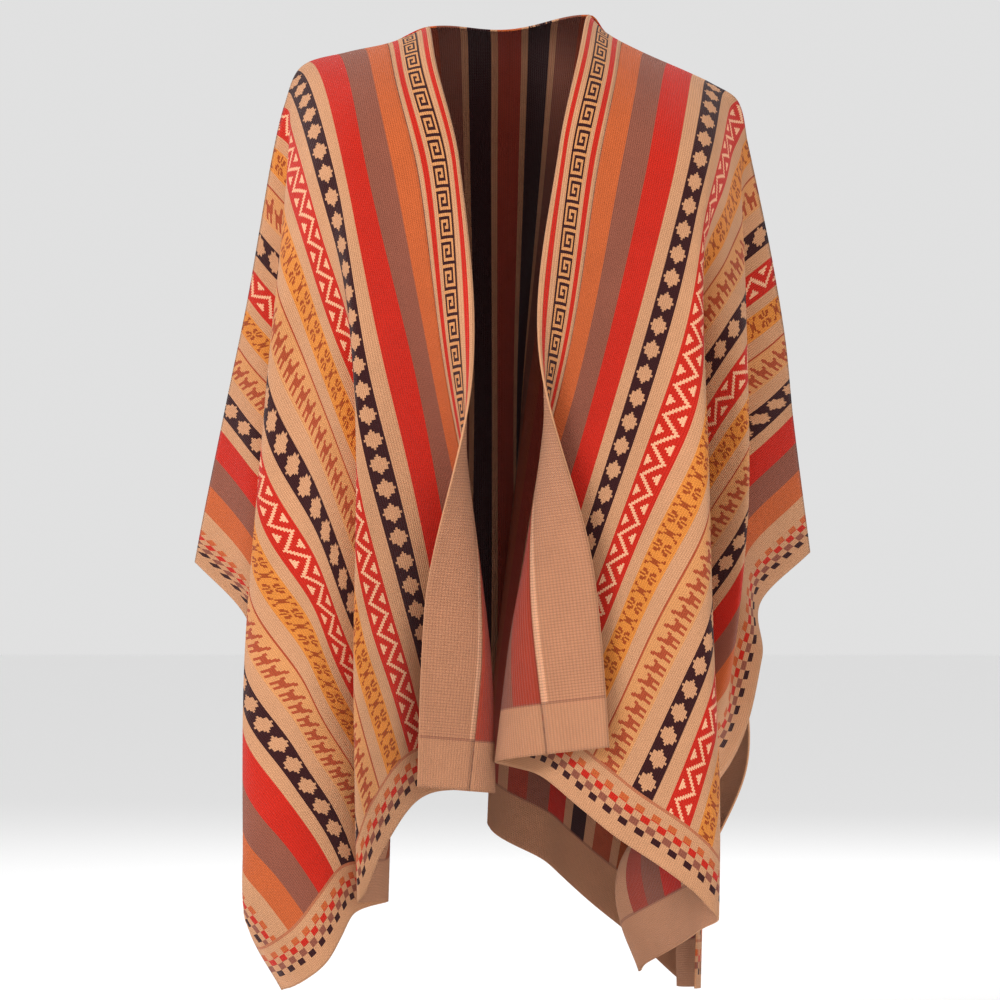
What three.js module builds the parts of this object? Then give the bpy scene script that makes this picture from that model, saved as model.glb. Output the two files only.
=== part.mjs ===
// Open-front knitted poncho, in the form it takes when it is worn.
// Millimetres. X runs to the wearer's left, Y to the back and Z up. The origin lies between the
// shoulders, where the wearer carries the garment. Every piece is a thin wall of cloth.
//
// A point of the cloth has two coordinates: "across" is its distance from the front edge (or, on
// the back, from the centre line), and "down" is its share of the way from the shoulder line, 0,
// to the hem, 1. Each fold of the cloth is one row of a table: where it runs across the cloth,
// how far to the side it hangs and how deep it lies, at the stations in DOWN.

import * as THREE from 'three';

// Driving sizes
const NECK_HALF = 81;        // centre of the back to the neck end of each shoulder line
const BAND = 46;             // width of the patterned band along each front edge
const WALL = 2;              // thickness of the knitted cloth
const SEAM = 0.3;            // gap between neighbouring pieces
const SHOULDER_TURN = 0.21;  // share of the length that rounds over the shoulder
const SHOULDER_END = 125;    // across the cloth, where the shoulder starts to give way to the arm
const ARM_START = 255;       // across the cloth, where the arm alone carries the cloth
const NAPE = 52;             // how far the back neck edge lies behind the shoulder line
const NAPE_DIP = 8;          // and how far below it

const ROUNDING = [3, 2.5, 1.5, 0.5];   // weights of the mean that rounds the folds
const ROUNDING_STEP = 7;               // and the length of cloth between them

const DOWN = [0, 0.12, 0.25, 0.5, 0.75, 0.85, 1];
const DOWN_STEPS = [4, 3, 5, 5, 2, 3];   // rows of the mesh between the stations

const COLOURS = {
  front: 0xc8703c, back: 0xb86434, band: 0xd8c0a0,
};

// Shoulder lines: across the cloth, to the side, height
const RIDGE_RIGHT = [
  { across: 0, x: -84, z: 23 },
  { across: 41, x: -122, z: 7 },
  { across: 87, x: -167, z: -3 },
  { across: 134, x: -212, z: -17 },
  { across: 176, x: -229, z: -55 },
  { across: 227, x: -241, z: -105 },
  { across: 303, x: -254, z: -180 },
  { across: 379, x: -267, z: -255 },
  { across: 468, x: -285, z: -342 },
  { across: 599, x: -311, z: -470 },
  { across: 655, x: -320, z: -518 },
];
const RIDGE_LEFT = [
  { across: 0, x: 78, z: 35 },
  { across: 26, x: 95, z: 17 },
  { across: 64, x: 128, z: -1 },
  { across: 120, x: 178, z: -23 },
  { across: 149, x: 203, z: -35 },
  { across: 180, x: 228, z: -52 },
  { across: 225, x: 238, z: -95 },
  { across: 299, x: 253, z: -165 },
  { across: 352, x: 263, z: -215 },
  { across: 435, x: 276, z: -295 },
  { across: 517, x: 284, z: -375 },
  { across: 655, x: 301, z: -508 },
];

// Hem lines: across the cloth, height
const HEM_RIGHT = [
  { across: 0, z: -737 }, { across: 82, z: -745 }, { across: 130, z: -743 },
  { across: 211, z: -752 }, { across: 278, z: -801 }, { across: 318, z: -839 },
  { across: 345, z: -848 }, { across: 430, z: -853 }, { across: 497, z: -862 },
  { across: 539, z: -886 }, { across: 595, z: -919 }, { across: 655, z: -941 },
];
const HEM_LEFT = [
  { across: 0, z: -697 }, { across: 92, z: -712 }, { across: 160, z: -720 },
  { across: 216, z: -729 }, { across: 277, z: -761 }, { across: 318, z: -787 },
  { across: 360, z: -812 }, { across: 398, z: -836 }, { across: 440, z: -863 },
  { across: 555, z: -903 }, { across: 655, z: -928 },
];
const HEM_BACK = [
  { across: -736, z: -920 }, { across: -630, z: -890 }, { across: -530, z: -855 },
  { across: -420, z: -837 }, { across: -300, z: -770 }, { across: -200, z: -745 },
  { across: -50, z: -735 }, { across: 20, z: -750 }, { across: 85, z: -787 },
  { across: 180, z: -827 }, { across: 310, z: -890 }, { across: 450, z: -950 },
  { across: 560, z: -954 }, { across: 736, z: -951 },
];

// Folds of the right front, from its front edge to its side edge
const FOLDS_RIGHT = [
  { fold: 'edge', across: [0, 0, 0, 0, 0, 0, 0],
    x: [-84, -76, -52, -39, -82, -89, -93], depth: [110, 115, 120, 165, 165, 166, 166] },
  { fold: 'turn', across: [22, 22, 22, 22, 50, 62, 82],
    x: [-104, -97, -71, -54, -27, -18, -15], depth: [105, 112, 118, 148, 134, 130, 124] },
  { fold: 'chest', across: [100, 100, 100, 100, 100, 110, 130],
    x: [-179, -162, -143, -93, -60, -57, -54], depth: [95, 110, 122, 138, 118, 106, 90] },
  { fold: 'inner crest', across: [134, 142, 150, 165, 242, 285, 345],
    x: [-212, -195, -175, -155, -155, -154, -151], depth: [70, 100, 118, 165, 175, 177, 178] },
  { fold: 'inner valley', across: [138, 150, 160, 215, 335, 375, 430],
    x: [-214, -200, -177, -136, -121, -120, -122], depth: [68, 99, 117, 130, 112, 110, 110] },
  { fold: 'middle edge', across: [142, 158, 172, 270, 418, 455, 497],
    x: [-215, -204, -184, -155, -155, -155, -156], depth: [68, 97, 114, 140, 142, 141, 138] },
  { fold: 'middle', across: [146, 185, 245, 365, 500, 540, 575],
    x: [-217, -213, -207, -193, -214, -208, -180], depth: [65, 92, 110, 150, 160, 156, 150] },
  { fold: 'outer crest', across: [150, 243, 337, 462, 575, 638, 636],
    x: [-218, -230, -246, -264, -266, -263, -213], depth: [60, 85, 105, 130, 140, 138, 138] },
  { fold: 'outer valley', across: [200, 335, 475, 615, 625, 644, 642],
    x: [-235, -196, -180, -192, -250, -262, -216], depth: [50, 30, 22, 32, 104, 124, 128] },
  { fold: 'sleeve', across: [400, 545, 600, 636, 642, 645, 645],
    x: [-271, -254, -227, -212, -254, -262, -222], depth: [50, 50, 36, 42, 98, 112, 118] },
  { fold: 'side', across: [655, 655, 655, 655, 655, 655, 655],
    x: [-320, -269, -250, -227, -258, -262, -228], depth: [50, 55, 46, 50, 90, 100, 106] },
];

// Folds of the left front, from its front edge to its side edge
const FOLDS_LEFT = [
  { fold: 'edge', across: [0, 0, 0, 0, 0, 0, 0],
    x: [78, 68, 47, 26, 75, 86, 95], depth: [110, 115, 120, 165, 178, 182, 186] },
  { fold: 'turn', across: [22, 22, 22, 22, 55, 70, 92],
    x: [92, 86, 66, 41, 10, -3, -15], depth: [105, 112, 118, 150, 138, 138, 140] },
  { fold: 'chest', across: [100, 100, 100, 100, 120, 135, 160],
    x: [160, 148, 131, 86, 45, 25, 3], depth: [95, 110, 122, 150, 142, 132, 118] },
  { fold: 'panel', across: [149, 149, 150, 180, 225, 245, 277],
    x: [203, 194, 174, 144, 110, 96, 71], depth: [75, 100, 118, 150, 165, 166, 166] },
  { fold: 'inner crest', across: [160, 175, 188, 240, 357, 398, 440],
    x: [212, 208, 190, 193, 196, 198, 201], depth: [70, 98, 122, 165, 178, 177, 174] },
  { fold: 'inner valley', across: [166, 200, 270, 430, 440, 455, 475],
    x: [217, 210, 176, 160, 189, 192, 188], depth: [66, 94, 84, 76, 130, 130, 130] },
  { fold: 'middle edge', across: [172, 250, 350, 610, 600, 600, 600],
    x: [221, 217, 199, 188, 122, 114, 140], depth: [62, 90, 98, 96, 50, 54, 66] },
  { fold: 'outer crest', across: [180, 318, 487, 630, 618, 618, 618],
    x: [228, 233, 233, 196, 113, 106, 133], depth: [60, 88, 114, 92, 42, 48, 64] },
  { fold: 'outer valley', across: [260, 430, 560, 636, 630, 630, 630],
    x: [245, 200, 212, 204, 114, 104, 130], depth: [50, 28, 62, 70, 34, 40, 56] },
  { fold: 'sleeve', across: [420, 560, 610, 648, 644, 644, 644],
    x: [274, 230, 228, 211, 120, 106, 130], depth: [50, 50, 66, 60, 28, 34, 50] },
  { fold: 'side', across: [655, 655, 655, 655, 655, 655, 655],
    x: [301, 249, 250, 219, 130, 108, 128], depth: [50, 50, 62, 48, 20, 26, 42] },
];

// Folds of the back, from its right side edge to its left one
const FOLDS_BACK = [
  { fold: 'right side', across: [-736, -736, -736, -736, -736, -736, -736],
    x: [-320, -266, -250, -236, -256, -250, -236], depth: [50, 60, 60, 70, 110, 118, 126] },
  { fold: 'right sleeve', across: [-480, -620, -680, -715, -718, -718, -718],
    x: [-271, -252, -228, -215, -250, -244, -230], depth: [50, 50, 44, 54, 104, 114, 122] },
  { fold: 'right outer valley', across: [-290, -430, -565, -690, -700, -700, -700],
    x: [-237, -200, -188, -196, -244, -238, -224], depth: [50, 34, 28, 42, 99, 110, 118] },
  { fold: 'right outer crest', across: [-235, -330, -425, -550, -640, -670, -680],
    x: [-221, -230, -242, -256, -256, -252, -238], depth: [60, 88, 108, 132, 138, 138, 138] },
  { fold: 'right middle', across: [-228, -262, -320, -440, -560, -600, -630],
    x: [-218, -217, -214, -200, -205, -205, -200], depth: [62, 95, 112, 128, 125, 122, 118] },
  { fold: 'right inner valley', across: [-222, -240, -262, -350, -450, -490, -530],
    x: [-215, -208, -186, -150, -140, -138, -140], depth: [64, 98, 114, 118, 100, 95, 92] },
  { fold: 'right inner crest', across: [-215, -226, -236, -270, -340, -380, -420],
    x: [-212, -197, -176, -152, -150, -150, -150], depth: [68, 101, 116, 140, 145, 143, 140] },
  { fold: 'right blade', across: [-150, -150, -150, -150, -180, -190, -200],
    x: [-149, -139, -120, -95, -85, -82, -80], depth: [88, 108, 118, 128, 125, 120, 115] },
  { fold: 'right of centre', across: [-50, -50, -50, -50, -50, -50, -50],
    x: [-52, -52, -50, -45, -48, -50, -52], depth: [95, 108, 116, 120, 110, 100, 90] },
  { fold: 'centre valley', across: [20, 20, 20, 20, 20, 20, 20],
    x: [17, 17, 14, 8, 7, 7, 8], depth: [98, 110, 118, 128, 135, 135, 135] },
  { fold: 'centre crest', across: [85, 85, 85, 85, 85, 85, 85],
    x: [81, 74, 58, 20, -10, -20, -26], depth: [95, 108, 115, 112, 100, 95, 92] },
  { fold: 'left blade', across: [150, 150, 150, 160, 180, 180, 180],
    x: [132, 124, 112, 85, 58, 48, 35], depth: [88, 108, 118, 125, 122, 120, 118] },
  { fold: 'left inner crest', across: [240, 250, 262, 300, 370, 410, 450],
    x: [211, 206, 190, 182, 180, 178, 172], depth: [68, 101, 116, 140, 142, 140, 135] },
  { fold: 'left inner valley', across: [247, 275, 310, 430, 500, 530, 560],
    x: [217, 212, 205, 160, 165, 168, 170], depth: [64, 98, 95, 95, 90, 88, 85] },
  { fold: 'left middle', across: [254, 310, 390, 560, 600, 610, 620],
    x: [222, 222, 212, 190, 185, 186, 184], depth: [62, 94, 105, 112, 75, 72, 70] },
  { fold: 'left outer crest', across: [262, 380, 520, 660, 660, 660, 660],
    x: [228, 232, 232, 215, 194, 192, 190], depth: [60, 88, 118, 108, 58, 58, 58] },
  { fold: 'left outer valley', across: [340, 500, 620, 690, 690, 690, 690],
    x: [245, 205, 206, 228, 196, 194, 192], depth: [50, 32, 50, 92, 42, 42, 42] },
  { fold: 'left sleeve', across: [500, 640, 690, 715, 715, 715, 715],
    x: [274, 236, 228, 236, 194, 192, 190], depth: [50, 50, 66, 80, 30, 30, 30] },
  { fold: 'left side', across: [736, 736, 736, 736, 736, 736, 736],
    x: [301, 247, 240, 240, 190, 188, 186], depth: [50, 58, 70, 66, 20, 20, 20] },
];

// Columns of the mesh between the folds, in the order of each table
const COLUMNS_FRONT = [1, 1, 1, 1, 3, 2, 2, 2, 3, 3, 2, 3];
const COLUMNS_BACK = [2, 2, 3, 2, 2, 2, 2, 2, 2, 2, 2, 2, 2, 2, 2, 3, 2, 2];
const COLUMNS_BAND = 5;
const TURN_LINES = [54, 66, 82];   // lines across the front panel that round its turned-out edge

// A smooth curve through the values at the knots: cubic pieces whose slope at each knot is the
// slope between its two neighbours.
function curve(knots, values, at) {
  const last = knots.length - 1;
  let i = 0;
  while (i < last - 1 && at > knots[i + 1]) i += 1;
  const slope = (k) => {
    const before = Math.max(k - 1, 0);
    const after = Math.min(k + 1, last);
    return (values[after] - values[before]) / (knots[after] - knots[before]);
  };
  const span = knots[i + 1] - knots[i];
  const s = (at - knots[i]) / span;
  const rise = values[i + 1] - values[i];
  const a = slope(i) * span;
  const b = slope(i + 1) * span;
  return values[i] + s * (a + s * (3 * rise - 2 * a - b + s * (a + b - 2 * rise)));
}

// The same knots and values joined by straight lines
function straight(knots, values, at) {
  let i = 0;
  while (i < knots.length - 2 && at > knots[i + 1]) i += 1;
  const share = (at - knots[i]) / (knots[i + 1] - knots[i]);
  return values[i] + (values[i + 1] - values[i]) * share;
}

function column(rows, name) {
  return rows.map((row) => row[name]);
}

function along(rows, name, at) {
  return curve(column(rows, 'across'), column(rows, name), at);
}

// The shoulder line of the back: both shoulder lines, joined by the neck edge
function backRidge() {
  const mirrored = [...RIDGE_RIGHT].reverse();
  const right = mirrored.map((row) => ({ ...row, across: -row.across - NECK_HALF }));
  const left = RIDGE_LEFT.map((row) => ({ ...row, across: row.across + NECK_HALF }));
  return [...right, ...left];
}

const PANELS = {
  right: { folds: FOLDS_RIGHT, ridge: RIDGE_RIGHT, hem: HEM_RIGHT, facing: -1, centre: 0 },
  left: { folds: FOLDS_LEFT, ridge: RIDGE_LEFT, hem: HEM_LEFT, facing: -1, centre: 0 },
  back: { folds: FOLDS_BACK, ridge: backRidge(), hem: HEM_BACK, facing: 1, centre: NECK_HALF },
};

// Share of the height lost at a share of the length: over the shoulder it follows a quarter
// ellipse, then a straight line of the same slope. On the arm it is straight from the start.
function fall(across, down) {
  const turn = SHOULDER_TURN;
  const drop = turn / (turn + (Math.PI / 2) * (1 - turn));
  const round = down < turn
    ? drop * (1 - Math.cos((Math.PI / 2) * (down / turn)))
    : drop + (1 - drop) * ((down - turn) / (1 - turn));
  const arm = THREE.MathUtils.smoothstep(across, SHOULDER_END, ARM_START);
  return round + (down - round) * arm;
}

// How far the cloth has come forward, or back, of the shoulder line, as a share of its depth
function rise(down) {
  return Math.sin((Math.PI / 2) * Math.min(down / SHOULDER_TURN, 1));
}

function foldLines(panel, down) {
  return panel.folds.map((row) => curve(DOWN, row.across, down));
}

// The level section of a panel: its fold points, and their places along the section. Spans are
// counted by the square root of their length, which keeps the curve through them free of loops.
function section(panel, down) {
  const lines = foldLines(panel, down);
  const sides = panel.folds.map((row) => curve(DOWN, row.x, down));
  const depths = panel.folds.map((row) => curve(DOWN, row.depth, down));
  const places = [0];
  for (let i = 1; i < lines.length; i += 1) {
    const span = Math.hypot(sides[i] - sides[i - 1], depths[i] - depths[i - 1]);
    places.push(places[i - 1] + Math.sqrt(span + 1));
  }
  return { lines, sides, depths, places };
}

// The side and depth of one point of the curve through the folds
function foldPoint({ lines, sides, depths, places }, across) {
  const place = straight(lines, places, across);
  return [curve(places, sides, place), curve(places, depths, place)];
}

// The same, rounded at the folds: a weighted mean over a short length of cloth to each side,
// which shrinks to nothing at the panel's edges
function roundedPoint(level, across) {
  const { lines } = level;
  const room = Math.min(across - lines[0], lines.at(-1) - across) / (ROUNDING.length - 1);
  const step = Math.min(ROUNDING_STEP, Math.max(room, 0));
  const sum = [0, 0];
  let total = 0;
  ROUNDING.forEach((weight, k) => {
    for (const way of k === 0 ? [1] : [-1, 1]) {
      const [side, depth] = foldPoint(level, across + way * k * step);
      sum[0] += weight * side;
      sum[1] += weight * depth;
      total += weight;
    }
  });
  return [sum[0] / total, sum[1] / total];
}

// The place of one point of a panel's middle surface
function surfacePoint(panel, across, down) {
  const [side, depth] = roundedPoint(section(panel, down), across);
  const offLine = along(panel.ridge, 'x', across) - roundedPoint(section(panel, 0), across)[0];
  const lineShare = Math.max(0, 1 - down / SHOULDER_TURN) ** 2;
  const x = side + offLine * lineShare;

  const fromNeck = Math.abs(across) - panel.centre;
  const high = along(panel.ridge, 'z', across);
  const low = along(panel.hem, 'z', across);
  let y = depth * rise(down) + SEAM / 2;
  let z = high + (low - high) * fall(fromNeck, down);
  if (fromNeck < 0) {
    const nape = Math.cos((Math.PI / 2) * (across / panel.centre)) ** 2;
    y += NAPE * nape * (1 - rise(down));
    z -= NAPE_DIP * nape * lineShare;
  }
  return new THREE.Vector3(x, panel.facing * y, z);
}

// The outward direction of the cloth at a point of a grid: the mean of the four corners around
// it. On the shoulder line it lies in the plane that the front and the back share, so that their
// cut edges face each other.
function outward(points, row, col, onShoulder) {
  const normal = new THREE.Vector3();
  const here = points[row][col];
  for (const up of [-1, 1]) {
    for (const side of [-1, 1]) {
      const below = points[row + up]?.[col];
      const beside = points[row][col + side];
      if (!below || !beside) continue;
      const corner = below.clone().sub(here).cross(beside.clone().sub(here)).normalize();
      normal.addScaledVector(corner, up * side);
    }
  }
  if (onShoulder) normal.y = 0;
  return normal.normalize();
}

// The middle surface of a panel as rows of points, each with its outward direction
function panelGrid(panel, lines) {
  const points = ALL_DOWN.map((down) => (
    lines(down).map((across) => surfacePoint(panel, across, down))));
  return ALL_DOWN.map((down, row) => lines(down).map((across, col) => {
    const onShoulder = row === 0 && Math.abs(across) >= panel.centre;
    return { point: points[row][col], normal: outward(points, row, col, onShoulder) };
  }));
}

// The columns of a grid from one to another. The column at the seam of the band moves half a
// seam towards its own piece.
function cutGrid(grid, from, to, seamColumn, way) {
  return grid.map((row) => row.slice(from, to).map((cell, k) => {
    if (from + k !== seamColumn) return cell;
    const chord = row[seamColumn + 1].point.clone().sub(row[seamColumn - 1].point);
    const shift = chord.projectOnPlane(cell.normal).setLength((way * SEAM) / 2);
    return { point: cell.point.clone().add(shift), normal: cell.normal };
  }));
}

// A closed wall over a grid of points: an outer and an inner skin, half the wall to each side of
// the middle surface, joined round their edge.
function wall(grid) {
  const count = grid.length;
  const columns = grid[0].length;
  const positions = [];
  for (const distance of [WALL / 2, -WALL / 2]) {
    for (const { point, normal } of grid.flat()) {
      const skinPoint = point.clone().addScaledVector(normal, distance);
      positions.push(skinPoint.x, skinPoint.y, skinPoint.z);
    }
  }
  const skin = columns * count;
  const at = (row, col, side) => side * skin + row * columns + col;
  const faces = [];
  const quad = (a, b, c, d) => faces.push(a, b, c, a, c, d);
  for (let row = 0; row + 1 < count; row += 1) {
    for (let col = 0; col + 1 < columns; col += 1) {
      const corner = (side) => [at(row, col, side), at(row + 1, col, side),
        at(row + 1, col + 1, side), at(row, col + 1, side)];
      quad(...corner(0));
      const [a, b, c, d] = corner(1);
      quad(c, b, a, d);
    }
  }
  const rim = (path) => {
    for (let i = 0; i + 1 < path.length; i += 1) {
      const [from, to] = [path[i], path[i + 1]];
      if (from < to) quad(from, to, to + skin, from + skin);
      else quad(to, to + skin, from + skin, from);
    }
  };
  rim(Array.from({ length: columns }, (_, col) => at(0, col, 0)));
  rim(Array.from({ length: count }, (_, row) => at(row, columns - 1, 0)));
  rim(Array.from({ length: columns }, (_, col) => at(count - 1, columns - 1 - col, 0)));
  rim(Array.from({ length: count }, (_, row) => at(count - 1 - row, 0, 0)));
  return closedGeometry(positions, faces);
}

// Turns the faces over where they would otherwise point inwards
function closedGeometry(positions, faces) {
  let volume = 0;
  const vertex = (i) => new THREE.Vector3().fromArray(positions, 3 * i);
  for (let i = 0; i < faces.length; i += 3) {
    const [a, b, c] = [vertex(faces[i]), vertex(faces[i + 1]), vertex(faces[i + 2])];
    volume += a.dot(b.cross(c));
  }
  const geometry = new THREE.BufferGeometry();
  geometry.setAttribute('position', new THREE.Float32BufferAttribute(positions, 3));
  geometry.setIndex(volume < 0 ? faces.slice().reverse() : faces);
  geometry.computeVertexNormals();
  return geometry;
}

// Evenly spaced values inside each span of a list, with the list's own values kept
function subdivide(values, counts) {
  const result = [values[0]];
  counts.forEach((count, i) => {
    for (let k = 1; k <= count; k += 1) {
      result.push(values[i] + ((values[i + 1] - values[i]) * k) / count);
    }
  });
  return result;
}

const ALL_DOWN = subdivide(DOWN, DOWN_STEPS);

// Lines across a whole front: its band up to the seam, then its panel
function frontLines(panel) {
  return (down) => {
    const folds = foldLines(panel, down).slice(2);
    return subdivide([0, BAND, ...TURN_LINES, ...folds], [COLUMNS_BAND, ...COLUMNS_FRONT]);
  };
}

function backLines(panel) {
  return (down) => subdivide(foldLines(panel, down), COLUMNS_BACK);
}

function piece(name, colour, grid) {
  const material = new THREE.MeshStandardMaterial({ color: colour, roughness: 0.9, metalness: 0 });
  const mesh = new THREE.Mesh(wall(grid), material);
  mesh.name = name;
  return mesh;
}

// A front panel and the band that edges it, a seam apart
function frontPieces(side) {
  const panel = PANELS[side];
  const grid = panelGrid(panel, frontLines(panel));
  const band = cutGrid(grid, 0, COLUMNS_BAND + 1, COLUMNS_BAND, -1);
  const front = cutGrid(grid, COLUMNS_BAND, Infinity, COLUMNS_BAND, 1);
  return [piece(`front_${side}`, COLOURS.front, front), piece(`band_${side}`, COLOURS.band, band)];
}

const poncho = new THREE.Group();
poncho.add(
  ...frontPieces('right'),
  ...frontPieces('left'),
  piece('back', COLOURS.back, panelGrid(PANELS.back, backLines(PANELS.back))),
);

export default poncho;
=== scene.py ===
import math
from collections import namedtuple

import bpy
import numpy as np
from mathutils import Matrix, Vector


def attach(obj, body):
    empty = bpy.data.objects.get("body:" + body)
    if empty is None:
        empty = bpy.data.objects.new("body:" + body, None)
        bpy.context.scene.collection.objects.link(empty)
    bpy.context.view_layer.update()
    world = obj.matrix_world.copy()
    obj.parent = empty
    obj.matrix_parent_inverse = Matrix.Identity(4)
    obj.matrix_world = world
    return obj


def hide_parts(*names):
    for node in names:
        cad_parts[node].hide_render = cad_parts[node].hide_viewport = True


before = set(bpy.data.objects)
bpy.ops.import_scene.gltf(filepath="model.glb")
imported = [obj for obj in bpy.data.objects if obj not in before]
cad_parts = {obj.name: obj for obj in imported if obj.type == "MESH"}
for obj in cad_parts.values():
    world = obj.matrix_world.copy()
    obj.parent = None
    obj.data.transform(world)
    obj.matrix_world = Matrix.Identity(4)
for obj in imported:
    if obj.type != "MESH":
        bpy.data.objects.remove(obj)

bl_info = {
    "name": "Knitted Poncho",
    "version": (1, 0, 0),
    "blender": (4, 5, 0),
    "location": "3D Viewport > Sidebar > Poncho",
    "description": "Builds an open-front knitted poncho with striped, patterned panels",
    "category": "Add Mesh",
}

# Sizes in millimetres. "Across" is the distance from the front edge or, on the back, from the
# centre line. "Down" is the share of the way from the shoulder line to the hem.
MM = 0.001
HALF_WIDTH = 655         # front edge to side edge
NECK_HALF = 81           # centre of the back to the neck end of each shoulder line
LENGTH = 790             # about the length from the shoulder line to the hem
BAND = 46                # width of the patterned band along each front edge
SEAM = 0.3               # gap between neighbouring pieces
SHOULDER_TURN = 0.21     # share of the length that rounds over the shoulder
SHOULDER_END = 125       # across the cloth, where the shoulder gives way to the arm
ARM_START = 255          # across the cloth, where the arm alone carries the cloth
NAPE = 52                # how far the back neck edge lies behind the shoulder line
NAPE_DIP = 8             # and how far below it
ROUNDING = [3, 2.5, 1.5, 0.5]   # weights of the mean that rounds the folds
ROUNDING_STEP = 7               # and the length of cloth between them
BACK_SPACING = 1.25      # the back's columns are this much wider than the fronts'

# Waves of the unevenness: height, length across the cloth, turns down it and start, in radians
RIPPLES = [(1, 23, 5.1, 0), (0.7, 13.7, -9.3, 1.3), (0.6, 41, 17, 0.4)]

Ridge = namedtuple("Ridge", "across x z")
Hem = namedtuple("Hem", "across z")
Fold = namedtuple("Fold", "name across x depth")
Stripe = namedtuple("Stripe", "start colour reverse")
Motif = namedtuple("Motif", "start width pitch chart colour")

# Stations down the cloth, at which each fold states where it runs
DOWN = [0, 0.12, 0.25, 0.5, 0.75, 0.85, 1]

# Shoulder lines, hem lines and folds, from the front edge to the side edge or, on the back, from
# the right side edge to the left one
RIDGE_RIGHT = [
    Ridge(0, -84, 23), Ridge(41, -122, 7), Ridge(87, -167, -3), Ridge(134, -212, -17),
    Ridge(176, -229, -55), Ridge(227, -241, -105), Ridge(303, -254, -180), Ridge(379, -267, -255),
    Ridge(468, -285, -342), Ridge(599, -311, -470), Ridge(655, -320, -518),
]
RIDGE_LEFT = [
    Ridge(0, 78, 35), Ridge(26, 95, 17), Ridge(64, 128, -1), Ridge(120, 178, -23),
    Ridge(149, 203, -35), Ridge(180, 228, -52), Ridge(225, 238, -95), Ridge(299, 253, -165),
    Ridge(352, 263, -215), Ridge(435, 276, -295), Ridge(517, 284, -375), Ridge(655, 301, -508),
]
HEM_RIGHT = [
    Hem(0, -737), Hem(82, -745), Hem(130, -743), Hem(211, -752), Hem(278, -801), Hem(318, -839),
    Hem(345, -848), Hem(430, -853), Hem(497, -862), Hem(539, -886), Hem(595, -919), Hem(655, -941),
]
HEM_LEFT = [
    Hem(0, -697), Hem(92, -712), Hem(160, -720), Hem(216, -729), Hem(277, -761), Hem(318, -787),
    Hem(360, -812), Hem(398, -836), Hem(440, -863), Hem(555, -903), Hem(655, -928),
]
HEM_BACK = [
    Hem(-736, -920), Hem(-630, -890), Hem(-530, -855), Hem(-420, -837), Hem(-300, -770),
    Hem(-200, -745), Hem(-50, -735), Hem(20, -750), Hem(85, -787), Hem(180, -827), Hem(310, -890),
    Hem(450, -950), Hem(560, -954), Hem(736, -951),
]

FOLDS_RIGHT = [
    Fold("edge", [0, 0, 0, 0, 0, 0, 0],
         [-84, -76, -52, -39, -82, -89, -93], [110, 115, 120, 165, 165, 166, 166]),
    Fold("turn", [22, 22, 22, 22, 50, 62, 82],
         [-104, -97, -71, -54, -27, -18, -15], [105, 112, 118, 148, 134, 130, 124]),
    Fold("chest", [100, 100, 100, 100, 100, 110, 130],
         [-179, -162, -143, -93, -60, -57, -54], [95, 110, 122, 138, 118, 106, 90]),
    Fold("inner crest", [134, 142, 150, 165, 242, 285, 345],
         [-212, -195, -175, -155, -155, -154, -151], [70, 100, 118, 165, 175, 177, 178]),
    Fold("inner valley", [138, 150, 160, 215, 335, 375, 430],
         [-214, -200, -177, -136, -121, -120, -122], [68, 99, 117, 130, 112, 110, 110]),
    Fold("middle edge", [142, 158, 172, 270, 418, 455, 497],
         [-215, -204, -184, -155, -155, -155, -156], [68, 97, 114, 140, 142, 141, 138]),
    Fold("middle", [146, 185, 245, 365, 500, 540, 575],
         [-217, -213, -207, -193, -214, -208, -180], [65, 92, 110, 150, 160, 156, 150]),
    Fold("outer crest", [150, 243, 337, 462, 575, 638, 636],
         [-218, -230, -246, -264, -266, -263, -213], [60, 85, 105, 130, 140, 138, 138]),
    Fold("outer valley", [200, 335, 475, 615, 625, 644, 642],
         [-235, -196, -180, -192, -250, -262, -216], [50, 30, 22, 32, 104, 124, 128]),
    Fold("sleeve", [400, 545, 600, 636, 642, 645, 645],
         [-271, -254, -227, -212, -254, -262, -222], [50, 50, 36, 42, 98, 112, 118]),
    Fold("side", [655, 655, 655, 655, 655, 655, 655],
         [-320, -269, -250, -227, -258, -262, -228], [50, 55, 46, 50, 90, 100, 106]),
]

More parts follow.
